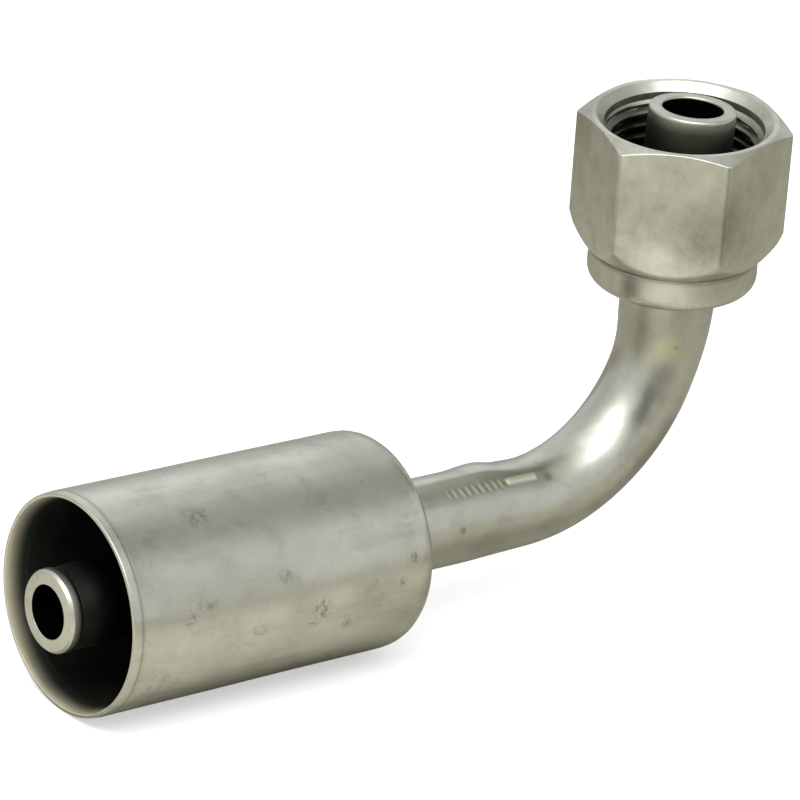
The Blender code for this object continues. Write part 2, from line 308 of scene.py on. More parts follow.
# Tones of the metals, and of the painted shade and highlights on them, linear red, green and
# blue.
LIGHT = (0.495, 0.50, 0.43)
DULL = (0.40, 0.40, 0.335)
DARK = (0.17, 0.16, 0.125)
STAIN = (0.11, 0.105, 0.09)
HIGHLIGHT_TONE = (0.86, 0.85, 0.75)
LIP_PAINTED_LIGHT = (0.56, 0.51, 0.34)
FERRULE_INSIDE_SHADE = (0.030, 0.033, 0.025)
STEM_NEAR_SHADE = (0.075, 0.090, 0.075)
STEM_DEEP_SHADE = (0.010, 0.011, 0.008)
TUBE_LIGHT = (0.455, 0.46, 0.395)
TUBE_DULL = (0.37, 0.37, 0.31)
TUBE_BORE_SHADE = (0.02, 0.02, 0.016)
PAD_HIGHLIGHT_TONE = (0.90, 0.90, 0.76)
YELLOW = (0.50, 0.50, 0.30)
THREAD_SHADE = (0.060, 0.062, 0.048)
SEAM_SHADE = (0.11, 0.10, 0.055)
NOSE_SHADE = (0.165, 0.170, 0.135)
NOSE_BORE_SHADE = (0.010, 0.010, 0.008)


def plated(n, light=LIGHT, dull=DULL, blotch=55.0):
    """Plated steel: large soft clouds, finer mottling and small dark pits."""
    clouds = n.spread(n.noise(blotch, 4.0, 0.55), 0.36, 0.66)
    colour = n.mix(clouds, light, dull)
    fine = n.spread(n.noise(420.0, 3.0, 0.6), 0.35, 0.75)
    colour = n.wash(colour, fine, 0.45, dull)
    mottle = n.spread(n.noise(230.0, 3.0, 0.7, twist=0.4), 0.50, 0.72)
    colour = n.wash(colour, mottle, 0.20, DARK)
    pits = n.spread(n.noise(900.0, 2.0, 0.5, twist=0.6), 0.70, 0.78)
    patches = n.spread(n.noise(90.0, 2.0, 0.5), 0.52, 0.66)
    pits = n.math("MULTIPLY", pits, patches)
    colour = n.wash(colour, pits, 0.65, STAIN)
    return colour, clouds, fine, pits


def gloss(n, clouds, sharp, dull):
    """Roughness that goes from sharp to dull with the clouds."""
    return n.spread(clouds, 0.0, 1.0, sharp, dull)


FERRULE_MARKS = [              # scuffs on the ferrule: place in mm, radius, strength
    ((-26.0, -15.5, 15.4), 1.0, 1.0), ((-27.5, -15.4, 13.6), 0.7, 0.9),
    ((-36.3, -15.5, 14.4), 0.7, 0.7), ((-48.0, -15.2, 18.6), 1.1, 0.6),
    ((-45.2, -15.1, 19.4), 1.0, 0.6), ((-12.0, -15.5, 16.6), 0.4, 1.0),
    ((-10.0, -15.0, 19.6), 0.5, 1.0), ((-32.0, -14.6, 21.0), 0.8, 0.6),
    ((-43.0, -7.6, 29.1), 1.2, 0.6), ((-17.0, -15.4, 17.2), 0.4, 0.8),
    ((-52.0, -13.8, 8.6), 2.5, 0.45), ((-21.0, -15.1, 12.0), 0.6, 0.6),
]


def ferrule_material():
    n = Nodes("plated_ferrule")
    colour, clouds, fine, pits = plated(n)
    grain = n.spread(n.noise(800.0, 3.0, 0.7, twist=0.8), 0.42, 0.66)
    scuffs = 0.0
    for place, radius, strength in FERRULE_MARKS:
        scuff = n.math("MULTIPLY", n.near(place, radius * 0.4, radius * 2), strength)
        scuffs = n.math("MAXIMUM", scuffs, scuff)
    colour = n.wash(colour, n.math("MULTIPLY", scuffs, grain), 0.85, STAIN)
    drawn = n.noise(1.0, 4.0, 0.6, n.stretch((60.0, 420.0, 420.0)))
    colour = n.mix(n.spread(drawn, 0.5, 0.75, 0.0, 0.22), colour, DARK)
    colour = n.wash(colour, n.attribute("marks_and_shade"), 0.55, DARK)
    # painted shade: the inside of the ferrule turns near black further in from the mouth
    deep_shade = n.rise("X", MOUTH_X - 0.6, MOUTH_X + 2.5)
    inside = n.attribute("inside")
    # painted light: the inner wall just inside the mouth gets a pale, less metallic tone for the
    # light falling in there
    lip_light = n.math("MULTIPLY", inside, n.spread(clouds, 0.0, 1.0, 0.75, 0.5))
    colour = n.mix(lip_light, colour, LIP_PAINTED_LIGHT)
    shade = n.math("MULTIPLY", deep_shade, inside)
    colour = n.mix(shade, colour, FERRULE_INSIDE_SHADE)
    painted = n.math("SUBTRACT", lip_light, n.math("MULTIPLY", shade, 0.25))
    metallic = n.math("SUBTRACT", 1.0, painted, clamp=True)
    height = n.math("ADD", n.math("MULTIPLY", fine, 0.5), n.math("MULTIPLY", pits, -1.0))
    return n.finish(colour, metallic, gloss(n, clouds, 0.29, 0.37), height)


def stem_material():
    """Plated steel with painted shade, darker the deeper it lies inside the ferrule and in its
    bore.
    """
    n = Nodes("turned_stem")
    colour, clouds, fine, _ = plated(n)
    shut_in = n.fall("X", REAR_X - 4.0, REAR_X - 1.0)
    near = n.math("MULTIPLY", shut_in, n.rise("X", TIP_X + 0.5, TIP_X + 1.6))
    deep_shade = n.math("MULTIPLY", shut_in, n.rise("X", TIP_X + 2.5, TIP_X + 7.5))
    # painted shade: darker inside the ferrule, and black in the bore
    colour = n.wash(colour, near, 0.95, STEM_NEAR_SHADE)
    colour = n.mix(n.math("MAXIMUM", deep_shade, n.attribute("inside")), colour, STEM_DEEP_SHADE)
    return n.finish(colour, 1.0, gloss(n, clouds, 0.36, 0.46), fine)


# Spots are (place, radius, soft edge), all in mm.
# dark streak along the bend: painted dark reflection together with tool marks
TUBE_STREAK = [((41.2, -5.4, 34.0), 0.5, 2.6), ((39.7, -5.2, 31.3), 0.6, 2.8),
               ((38.3, -5.3, 28.6), 0.5, 2.4)]
TUBE_SHADE = [((40.3, -6.0, 21.8), 0.5, 4.0), ((42.6, -6.2, 25.8), 0.3, 2.6)]
TUBE_YELLOW = ((41.6, -5.4, 38.0), 1.0, 1.9)
TUBE_SPECKS = [((42.6, -5.8, 38.3), 0.15, 0.45), ((6.0, -6.4, 16.7), 0.2, 0.7),
               ((23.0, -3.9, 21.0), 0.3, 0.8)]


def tube_material():
    n = Nodes("formed_tube")
    colour, clouds, fine, _ = plated(n, TUBE_LIGHT, TUBE_DULL, 70.0)
    inside = n.attribute("inside")
    # painted shade: the bore is near black
    colour = n.mix(inside, colour, TUBE_BORE_SHADE)
    colour = n.wash(colour, n.attribute("marks_and_shade"), 0.8, DARK)
    # painted highlight: near-white tone on the clamp's pad
    colour = n.mix(n.attribute("pad"), colour, PAD_HIGHLIGHT_TONE)
    # painted dark reflection together with tool marks along the bend
    colour = n.wash(colour, n.join("MAXIMUM", TUBE_STREAK), 0.36, DARK)
    colour = n.wash(colour, n.join("MAXIMUM", TUBE_SHADE), 0.32, DARK)
    colour = n.wash(colour, n.near(*TUBE_YELLOW), 0.55, YELLOW)
    colour = n.wash(colour, n.join("ADD", TUBE_SPECKS, clamp=True), 0.6, DARK)
    metallic = n.spread(inside, 0.0, 1.0, 1.0, 0.2)
    return n.finish(colour, metallic, gloss(n, clouds, 0.32, 0.40), fine)


NUT_SCUFF = ((38.6, -12.3, 58.5), 0.5, 4.5)
NUT_SHADES = [                 # darker spots on the nut, each with its strength
    (((39.2, -13.0, 60.0), 1.5, 7.0), 0.60),
    (((33.4, -4.3, 48.6), 0.4, 1.9), 0.5),
    (((35.0, 8.3, 71.0), 1.5, 6.0), 0.5),
]
# painted highlights: lighter spots on the nut
NUT_HIGHLIGHTS = [((37.0, -9.5, 47.5), 1.5, 6.5), ((50.0, 10.5, 72.0), 2.0, 7.0),
               ((33.0, -9.0, 52.6), 1.2, 4.0)]


def nut_material():
    n = Nodes("milled_nut")
    colour, clouds, fine, _ = plated(n, blotch=110.0)
    # painted shade: the thread darkens further down inside the nut
    deep_shade = n.fall("Z", nut_high.z - 4.2, nut_high.z - 0.7)
    colour = n.mix(n.math("MULTIPLY", deep_shade, n.attribute("inside")), colour, THREAD_SHADE)
    # painted shade in the crease between the collar and the hexagon
    colour = n.wash(colour, n.attribute("marks_and_shade"), 0.8, SEAM_SHADE)
    blotch = n.spread(n.noise(330.0, 4.0, 0.7), 0.38, 0.68)
    colour = n.wash(colour, n.math("MULTIPLY", blotch, n.near(*NUT_SCUFF)), 0.55, DARK)
    for spot, strength in NUT_SHADES:
        colour = n.wash(colour, n.near(*spot), strength, DARK)
    # painted highlights
    colour = n.wash(colour, n.join("MAXIMUM", NUT_HIGHLIGHTS), 0.40, HIGHLIGHT_TONE)
    colour = n.wash(colour, blotch, 0.16, DARK)
    brushed = n.noise(1.0, 3.0, 0.6, n.stretch((900.0, 900.0, 90.0)))
    colour = n.mix(n.spread(brushed, 0.5, 0.75, 0.0, 0.13), colour, DARK)
    return n.finish(colour, 1.0, gloss(n, clouds, 0.32, 0.42), fine)


def nose_material():
    n = Nodes("machined_nose")
    colour, clouds, fine, _ = plated(n)
    # painted shade: darker below the top rim inside the nut, and near black in the bore
    colour = n.mix(n.fall("Z", NOSE_TOP - 2.4, NOSE_TOP - 0.5), colour, NOSE_SHADE)
    colour = n.mix(n.attribute("inside"), colour, NOSE_BORE_SHADE)
    return n.finish(colour, 1.0, gloss(n, clouds, 0.32, 0.42), fine)


def rubber_material():
    n = Nodes("seal_rubber")
    fine = n.noise(2200.0, 3.0, 0.6)
    colour = n.mix(fine, (0.012, 0.012, 0.012), (0.03, 0.03, 0.028))
    return n.finish(colour, 0.0, n.spread(fine, 0.3, 0.7, 0.45, 0.6), fine)


def washer_material():
    n = Nodes("ground_washer")
    colour, clouds, fine, _ = plated(n)
    return n.finish(colour, 1.0, gloss(n, clouds, 0.28, 0.38), fine)


def braze_material():
    n = Nodes("braze_filler")
    cloud = n.noise(300.0, 3.0, 0.6)
    colour = n.mix(cloud, (0.34, 0.32, 0.24), (0.20, 0.18, 0.13))
    return n.finish(colour, 1.0, n.spread(cloud, 0.3, 0.7, 0.35, 0.5), cloud)


def mark(piece, name, values):
    """Stores one number per vertex for the piece's material."""
    layer = piece.data.attributes.new(name, "FLOAT", "POINT")
    layer.data.foreach_set("value", np.clip(values, 0, 1).astype(np.float32).ravel())


def mark_rows(piece, name, values, columns):
    """Stores one number per point of the outline, the same all round."""
    mark(piece, name, np.repeat(values[:, None], columns, 1))


# ---------------------------------------------------------------- ferrule
FERRULE_COLUMNS = 240
FERRULE_WALL = 1.45
FERRULE_BASE = 1.9             # thickness of the closed end
FERRULE_HOLE_R = 5.75          # round the stem's groove
FERRULE_CORNER = 3.6
MOUTH_LINE = 1.35              # a fine turned line this far behind the mouth
MOUTH_PULL = 0.2               # the mouth stands this much proud of the outline
FERRULE_DENT = 0.022           # size of the shell's unevenness


def build_ferrule():
    bore = FERRULE_R - FERRULE_WALL
    profile = outline([
        (MOUTH_X, FERRULE_R - 0.14, 0.22, 0.3),
        (MOUTH_X + 1.15, FERRULE_R, 0.30, 0.2),
        (MOUTH_X + MOUTH_LINE, FERRULE_R - 0.03, 0.05, 0.2),
        (MOUTH_X + 1.60, FERRULE_R, 0.05, 0.6),
        (REAR_X, FERRULE_R, FERRULE_CORNER, 0.5),
        (REAR_X, FERRULE_HOLE_R, 0.25, 0.5),
        (REAR_X - FERRULE_BASE, FERRULE_HOLE_R, 0.1, 1.0),
        (REAR_X - FERRULE_BASE, bore, 2.1, 1.0),
        (MOUTH_X + 3.2, bore, 0.6, 0.5),
        (MOUTH_X + 0.6, FERRULE_R - 0.82, 0.3, 0.3),
        (MOUTH_X, FERRULE_R - 0.62, 0.12, 0.2),
    ])

    def uneven(x, r, a):
        fade = ramp(x, MOUTH_X, MOUTH_X + 4.0)
        x = x - MOUTH_PULL * (1 - fade)
        return x, r - 0.03 + fade * waves(a, x, 2, FERRULE_DENT)

    piece = ring_piece("ferrule_shell", about_x(profile, FERRULE_COLUMNS, uneven), "ferrule",
                       "ferrule", ferrule_material())
    inner = (profile[:, 1] < FERRULE_R - 0.55) & (profile[:, 0] < REAR_X - 1.0)
    mark_rows(piece, "inside", inner, FERRULE_COLUMNS)
    line = np.exp(-((profile[:, 0] - MOUTH_X - MOUTH_LINE) / 0.22) ** 2)
    mark_rows(piece, "marks_and_shade", line, FERRULE_COLUMNS)


# ---------------------------------------------------------------- clamp marks on the tube
GRIP_ANGLE = math.radians(25.0)    # middle of the flat, from straight up towards -Y
GRIP_END = 24.0                    # no marks beyond this x
GRIP_HALF = math.radians(14.5)     # half of the flat's width near the ferrule
GRIP_TAPER = math.radians(4.5)     # how much narrower that half is at the bend
TEETH_ANGLE = math.radians(5.5)    # middle of the row of teeth, from the middle of the flat
TEETH_HALF = math.radians(6.5)
TEETH_SPAN = (4.6, 14.6, 0.6, 0.6)     # start, end, fade in and fade out, along x
TEETH_PITCH = 1.2
TEETH_HEIGHT = 0.05
PAD_ANGLE = math.radians(6.0)      # middle of the smooth pad after the teeth
PAD_HALF = math.radians(5.0)
PAD_SPAN = (15.6, 21.0, 0.4, 0.6)
PAD_HIGHLIGHT_HALF = 4.5                # degrees, half width of the painted highlight across the pad
PAD_HEIGHT = 0.14


def grip_lean(a):
    """Angle from the middle of the clamp flat."""
    return np.mod(a - GRIP_ANGLE + math.pi, TAU) - math.pi


def stretch_between(x, start, end, fade_in, fade_out):
    """1 from start to end, with soft ends."""
    return ramp(x, start, start + fade_in) * (1 - ramp(x, end, end + fade_out))


def clamp_flat(x, r, a):
    """Flat pressed by the bending clamp along the upper front, with a row of fine teeth."""
    lean = grip_lean(a)
    half = GRIP_HALF - GRIP_TAPER * ramp(x, 4.0, 20.0)
    edge = np.interp(GRIP_ANGLE + half, a, r)
    chord = edge * np.cos(half) / np.maximum(np.cos(lean), 0.3)
    flat = smooth_min(r, chord, 0.04)
    r = r + (flat - r) * (1 - ramp(x, 13.5, 22.5))
    across = np.exp(-((lean - TEETH_ANGLE) / TEETH_HALF) ** 4)
    teeth = np.sin((x - 5.0) * TAU / TEETH_PITCH) * stretch_between(x, *TEETH_SPAN)
    r = r + TEETH_HEIGHT * teeth * across
    pad = np.exp(-((lean - PAD_ANGLE) / PAD_HALF) ** 4) * stretch_between(x, *PAD_SPAN)
    slope = np.clip(1.17 - lean / math.radians(9.0), 0.0, 1.0)
    return r + PAD_HEIGHT * pad * slope


def flat_tone(x, a):
    """How much darker the clamp flat is, and how much of a point lies on its pad, where a
    highlight is painted.
    """
    lean = np.degrees(grip_lean(a))
    band = np.exp(-(lean / 11.0) ** 4) * (1 - ramp(x, 19.0, GRIP_END))
    across = np.exp(-((lean - math.degrees(PAD_ANGLE)) / PAD_HIGHLIGHT_HALF) ** 4)
    pad = stretch_between(x, *PAD_SPAN) * across
    return 0.28 * band * (1 - pad), 0.9 * pad


# ---------------------------------------------------------------- stem
STEM_COLUMNS = 120
STEM_BORE_R = 3.78
BARB_CREST_R = 5.97
BARB_ROOT_R = 5.30
BARB_PITCH = 5.2
BARB_COUNT = 8
LOCK_R = 7.15                  # collar that stops the ferrule inside
GROOVE_R = 5.45                # groove that the ferrule turns in
GROOVE_PLAY = 0.25
SHANK_R = 6.45
SPIGOT_LENGTH = 7.9            # how far the stem reaches into the tube
TIP_SHIFT = (0.25, -0.42)      # Y and Z by which the tip stands off the axis


def build_stem():
    corners = [
        (TIP_X, STEM_BORE_R, 0.10, 0.4),
        (TIP_X, 5.42, 0.12, 0.2),
        (TIP_X + 0.45, 5.78, 0.15, 0.2),
        (TIP_X + 1.5, 5.86, 0.20, 0.3),
        (TIP_X + 1.9, 5.62, 0.12, 0.4),
    ]
    for i in range(BARB_COUNT):
        start = TIP_X + 3.1 + BARB_PITCH * i
        corners.append((start, BARB_ROOT_R if i else 5.66, 0.15, 1.0))
        corners.append((start + 4.7, BARB_CREST_R, 0.10, 0.3))
        corners.append((start + 5.0, 5.32, 0.10, 0.3))
    lock = REAR_X - FERRULE_BASE - GROOVE_PLAY
    shank = REAR_X + GROOVE_PLAY
    corners += [
        (lock - 2.9, BARB_ROOT_R, 0.2, 0.5),
        (lock - 2.2, LOCK_R, 0.2, 0.5),
        (lock, LOCK_R, 0.1, 0.5),
        (lock, GROOVE_R, 0.1, 0.5),
        (shank, GROOVE_R, 0.1, 0.3),
        (shank, SHANK_R, 0.15, 0.3),
        (JOINT_X - 0.30, SHANK_R, 0.25, 0.2),
        (JOINT_X - 0.05, 4.9, 0.05, 0.5),
        (JOINT_X + 0.2, 4.80, 0.1, 1.0),
        (JOINT_X + SPIGOT_LENGTH, 4.70, 0.2, 0.5),
        (JOINT_X + SPIGOT_LENGTH, STEM_BORE_R, 0.1, 2.0),
    ]
    profile = outline(corners, 0.5)
    grid = about_x(profile, STEM_COLUMNS)
    sag = np.clip((REAR_X - grid[..., 0]) / (REAR_X - TIP_X), 0, 1)
    grid[..., 1] += TIP_SHIFT[0] * sag
    grid[..., 2] += TIP_SHIFT[1] * sag
    piece = ring_piece("stem_turned", grid, "fitting", "hose_stem",
                       stem_material())
    bore = (profile[:, 1] < STEM_BORE_R + 0.07) & (profile[:, 0] > TIP_X + 0.05)
    mark_rows(piece, "inside", bore, STEM_COLUMNS)


# ---------------------------------------------------------------- bent tube
TUBE_COLUMNS = 180
TUBE_BORE_R = 4.86
TUBE_DENT = 0.03               # size of the tube's unevenness
UPPER_SIDE = [                 # run from the joint, and how far the upper side is out of round
    (0.0, 0.30), (4.0, 0.38), (14.0, 0.40), (18.0, 0.25), (22.0, 0.05), (26.0, -0.10),
    (40.0, -0.25), (54.0, -0.10), (62.0, 0.10), (72.0, 0.10),
]
LOWER_SIDE = [                 # the same for the lower side, which the bend turns outwards
    (0.0, 0.25), (4.0, 0.35), (12.0, 0.40), (19.0, 0.15), (26.0, -0.10), (40.0, -0.20),
    (54.0, -0.05), (62.0, 0.10), (72.0, 0.10),
]
TOP_SWELL = 0.46               # the upright end is wider by this all round
CLAMP_LUMP = 0.40              # swelling that the clamp left where its flat ends
LUMP_ANGLE = math.radians(30.0)    # the lump's half width, and how far behind the top it lies


def tube_section(s, a, radius):
    """Radius of the tube's outside at run s (mm from the joint), for angle a from straight up."""
    up = np.interp(s, *zip(*UPPER_SIDE))
    down = np.interp(s, *zip(*LOWER_SIDE))
    lean = np.cos(a)
    swell = TOP_SWELL * ramp(s, 54.0, 66.0)
    offset = (a + LUMP_ANGLE + math.pi) % TAU - math.pi
    lump = CLAMP_LUMP * ramp(s, 11.0, 16.6) * (1 - ramp(s, 16.8, 20.0))
    lump = lump * np.exp(-(offset / LUMP_ANGLE) ** 2)
    return radius + swell + lump + np.where(lean > 0, up, down) * lean ** 2


def build_tube():
    bend_length = BEND_R * math.pi / 2
    straight = NUT_X - BEND_R - JOINT_X
    top = tube_high.z - 0.02
    total = straight + bend_length + top - STEM_Z - BEND_R
    runs = np.concatenate([
        [0.02, 0.08, 0.2],
        np.arange(0.5, 7.0, 0.5),
        np.arange(7.0, 25.0, 0.12),
        np.arange(25.0, total - 0.4, 0.5),
        [total - 0.3, total - 0.1, total],
    ])
    a = even_angles(TUBE_COLUMNS)

    def place(s):
        """Centre and inward normal (towards the bend's centre) at run s."""
        if s < straight:
            return (JOINT_X + s, STEM_Z), (0.0, 1.0)
        if s < straight + bend_length:
            turn = (s - straight) / BEND_R
            normal = (-math.sin(turn), math.cos(turn))
            centre = (NUT_X - BEND_R - BEND_R * normal[0], STEM_Z + BEND_R - BEND_R * normal[1])
            return centre, normal
        rise = s - straight - bend_length
        return (NUT_X, STEM_Z + BEND_R + rise), (-1.0, 0.0)

    def ring(s, radii):
        centre, normal = place(s)
        x = centre[0] + radii * np.cos(a) * normal[0]
        z = centre[1] + radii * np.cos(a) * normal[1]
        return np.stack([x, -radii * np.sin(a), z], 1)

    rows = []
    marks_and_shade = []
    pad_highlights = []
    for s in runs:
        x = JOINT_X + s
        radii = tube_section(s, a, TUBE_R)
        if x < GRIP_END:
            radii = clamp_flat(x, radii, a)
        radii = radii + waves(a, s, 3, TUBE_DENT) * ramp(s, 16.0, 26.0)
        rows.append(ring(s, radii))
        dark, light = flat_tone(x, a)
        marks_and_shade.append(dark)
        pad_highlights.append(light)
    bore_runs = np.concatenate([[total], np.arange(total - 0.4, 0.3, -1.2), [0.02]])
    for s in bore_runs:
        rows.append(ring(s, np.full(TUBE_COLUMNS, TUBE_BORE_R)))
        marks_and_shade.append(np.zeros(TUBE_COLUMNS))
        pad_highlights.append(np.zeros(TUBE_COLUMNS))
    inside = np.zeros((len(rows), TUBE_COLUMNS))
    inside[len(runs):] = 1.0
    piece = ring_piece("tube_formed", np.array(rows), "fitting", "bent_tube",
                       tube_material())
    mark(piece, "inside", inside)
    mark(piece, "marks_and_shade", np.array(marks_and_shade))
    mark(piece, "pad", np.array(pad_highlights))


BRAZE_COLUMNS = 96


def build_brazes():
    """The ring of filler round the stem's joint, and the one under the nose's flange."""
    mid = (joint_low.x + joint_high.x) / 2
    ring = outline([(mid - 0.5, 6.36, 0.1), (mid - 0.3, 6.66, 0.15), (mid + 0.3, 6.60, 0.15),
                    (mid + 0.5, 6.40, 0.05)], 0.2)
    ring_piece("joint_braze", about_x(ring, BRAZE_COLUMNS), "fitting", "stem_braze_ring",
               braze_material())
    low = braze_low.z
    high = braze_high.z
    ring = outline([(6.72, low, 0.05), (7.0, low + 0.3, 0.3), (7.35, high, 0.05),
                    (6.72, high, 0.05)], 0.2)
    ring_piece("nose_braze", about_z(ring, even_angles(BRAZE_COLUMNS)), "fitting",
               "nose_braze_ring", braze_material())


# ---------------------------------------------------------------- nose, seal, washer
SEAL_SIDES = 24                # points round the seal's section
NOSE_COLUMNS = 160
RING_COLUMNS = 120             # round the seal and the washer
NOSE_R = 6.28
NOSE_BORE_R = 4.40
FLANGE_R = 8.80
FLANGE_HEIGHT = 4.0
SOCKET_R = 6.80                # socket that the tube is brazed into
SOCKET_DEPTH = 3.15
SEAL_SECTION_R = 0.89
WASHER_BORE_R = 7.40
WASHER_R = 10.40


def build_nose():
    flange_low = nose_low.z
    flange_high = flange_low + FLANGE_HEIGHT
    profile = outline([
        (NOSE_BORE_R, NOSE_TOP, 0.40, 0.3),
        (NOSE_R, NOSE_TOP, 0.55, 0.4),
        (NOSE_R, flange_high, 0.2, 0.5),
        (FLANGE_R, flange_high, 0.4, 0.5),
        (FLANGE_R, flange_low, 0.4, 0.5),
        (SOCKET_R, flange_low, 0.1, 0.5),
        (SOCKET_R, flange_low + SOCKET_DEPTH, 0.1, 0.5),
        (NOSE_BORE_R, flange_low + SOCKET_DEPTH, 0.1, 1.0),
    ])
    piece = ring_piece("nose_turned", about_z(profile, even_angles(NOSE_COLUMNS)), "fitting",
                       "seal_nose", nose_material())
    bore = (profile[:, 0] < NOSE_BORE_R + 0.05) & (profile[:, 1] < NOSE_TOP - 0.35)
    mark_rows(piece, "inside", bore, NOSE_COLUMNS)


def build_seal():
    centre_r = (seal_high.x - seal_low.x) / 2 - SEAL_SECTION_R
    centre_z = (seal_low.z + seal_high.z) / 2
    t = even_angles(SEAL_SIDES)
    profile = np.stack([centre_r + SEAL_SECTION_R * np.cos(t),
                        centre_z + SEAL_SECTION_R * np.sin(t)], 1)
    ring_piece("seal_moulded", about_z(profile, even_angles(RING_COLUMNS)), "fitting",
               "seal_ring", rubber_material())


def build_washer():
    profile = outline([
        (WASHER_BORE_R, washer_low.z, 0.15), (WASHER_R, washer_low.z, 0.15),
        (WASHER_R, washer_high.z, 0.15), (WASHER_BORE_R, washer_high.z, 0.15),
    ], 0.6)
    ring_piece("washer_ground", about_z(profile, even_angles(RING_COLUMNS)), "washer",
               "thrust_washer", washer_material())


# ---------------------------------------------------------------- nut
HALF_FLATS = 13.5
HEX_EDGE_R = 0.95              # rounding of the hexagon's six edges
CORNER_TURN = math.radians(13.6)
NUT_TILT = (-0.088, -0.033)    # how far the loose nut leans towards X and Y per unit of height
PIVOT_Z = NUT_BASE + 3.1
SIDE_COLUMNS = 44              # columns on each side of the hexagon
CORNER_CROWD = 0.12            # how strongly the columns crowd towards its corners
RIM_HEIGHT = NUT_HEIGHT + 0.20
RIM_R = 13.35                  # the flat ring at the top ends here and its chamfer starts
RIM_SLOPE = math.tan(math.radians(25.0))
CORNERS_R = 15.95              # a little outside the hexagon's corners
COLLAR_R = 12.25
NUT_HOLE_R = 7.40              # round the tube
POCKET_R = 10.95               # holds the washer
POCKET_FLOOR = 3.55
RELIEF_R = 11.25               # groove between the pocket and the thread
THREAD_R = 10.35               # the thread's crests
THREAD_DEPTH = 0.95
THREAD_PITCH = 1.814
THREAD_START = 11.6            # height above the nut's base
ENTRY_R = 11.45                # chamfer that leads into the thread
OUTSIDE_R = 11.6               # all beyond it is the nut's outside
SEAM_HEIGHT = 4.95             # painted shade line in the crease between the collar and the hexagon
SEAM_HALF = 0.42


def hexagon(a):
    """Radius of a hexagon with rounded corners at angle a."""
    lean = np.mod(a, TAU / 6) - TAU / 12
    flat = HALF_FLATS / np.cos(lean)
    off = TAU / 12 - np.abs(lean)
    centre = (HALF_FLATS - HEX_EDGE_R) / math.cos(TAU / 12)
    inside = np.maximum(HEX_EDGE_R ** 2 - (centre * np.sin(off)) ** 2, 0)
    round_r = centre * np.cos(off) + np.sqrt(inside)
    limit = math.atan(HEX_EDGE_R / 2 / (centre + HEX_EDGE_R * math.cos(TAU / 12)))
    return np.where(off < limit, round_r, flat)


def nut_shape(r, z, a):
    """Trims the turned nut to a hexagon, and cuts its thread."""
    outer = (z > 3.0) & (r > OUTSIDE_R)
    trimmed = smooth_min(r, hexagon(a), np.where(z > 12.0, 0.16, 0.45))
    r = np.where(outer, trimmed, r)
    phase = np.mod(z / THREAD_PITCH - a / TAU, 1.0)
    tooth = ramp(np.abs(phase - 0.5) * 2, 0.15, 0.80)
    cut = THREAD_R + THREAD_DEPTH * tooth
    threaded = (z > THREAD_START) & (z < NUT_HEIGHT - 1.6) & (r < 11.40) & ~outer
    fade = ramp(z, THREAD_START, 13.0)
    r = np.where(threaded, np.maximum(r, r + (cut - r) * fade), r)
    return r, z + NUT_BASE


def build_nut():
    t = np.arange(SIDE_COLUMNS) / SIDE_COLUMNS
    side = t - CORNER_CROWD * np.sin(TAU * t)
    angles = np.concatenate([(k + side) * TAU / 6 for k in range(6)])
    profile = outline([
        (12.65, RIM_HEIGHT, 0.25, 0.3),
        (RIM_R, RIM_HEIGHT, 0.25, 0.12),
        (CORNERS_R, RIM_HEIGHT - (CORNERS_R - RIM_R) * RIM_SLOPE, 0.02, 0.8),
        (CORNERS_R, 8.95, 0.02, 0.09),
        (15.50, 8.75, 1.2, 0.09),
        (14.75, 7.40, 1.2, 0.09),
        (13.35, 5.90, 0.9, 0.09),
        (COLLAR_R - 0.15, 5.00, 0.25, 0.09),
        (COLLAR_R, 4.70, 0.20, 0.5),
        (COLLAR_R, 0.0, 1.75, 0.5),
        (NUT_HOLE_R, 0.0, 0.35, 0.5),
        (NUT_HOLE_R, POCKET_FLOOR, 0.1, 0.5),
        (POCKET_R, POCKET_FLOOR, 0.1, 0.5),
        (POCKET_R, 6.8, 0.3, 0.5),
        (RELIEF_R, 7.6, 0.3, 0.5),
        (RELIEF_R, 10.4, 0.3, 0.3),
        (THREAD_R, THREAD_START, 0.1, 0.14),
        (THREAD_R, NUT_HEIGHT - 3.30, 0.05, 0.14),
        (ENTRY_R - 0.10, NUT_HEIGHT - 2.00, 0.3, 0.14),
        (ENTRY_R, NUT_HEIGHT - 1.00, 0.1, 0.14),
    ], 0.5)
    grid = about_z(profile, angles, nut_shape)
    spin = Matrix.Rotation(CORNER_TURN, 3, "Z")
    lean = Vector((*NUT_TILT, 1.0)).normalized()
    tip = Vector((0, 0, 1)).rotation_difference(lean).to_matrix()
    move = np.array(tip @ spin)
    pivot = np.array([NUT_X, 0.0, PIVOT_Z])
    grid = (grid - pivot) @ move.T + pivot
    piece = ring_piece("nut_milled", grid, "nut", "swivel_nut", nut_material(),
                       sharp=28.0)
    inner = (profile[:, 0] < OUTSIDE_R) & (profile[:, 1] > 0.6)
    mark_rows(piece, "inside", inner, len(angles))
    seam = np.exp(-((profile[:, 1] - SEAM_HEIGHT) / SEAM_HALF) ** 2)
    mark_rows(piece, "marks_and_shade", seam * (profile[:, 0] > OUTSIDE_R), len(angles))


build_ferrule()
build_stem()
build_tube()
build_brazes()
build_nose()
build_seal()
build_washer()
build_nut()


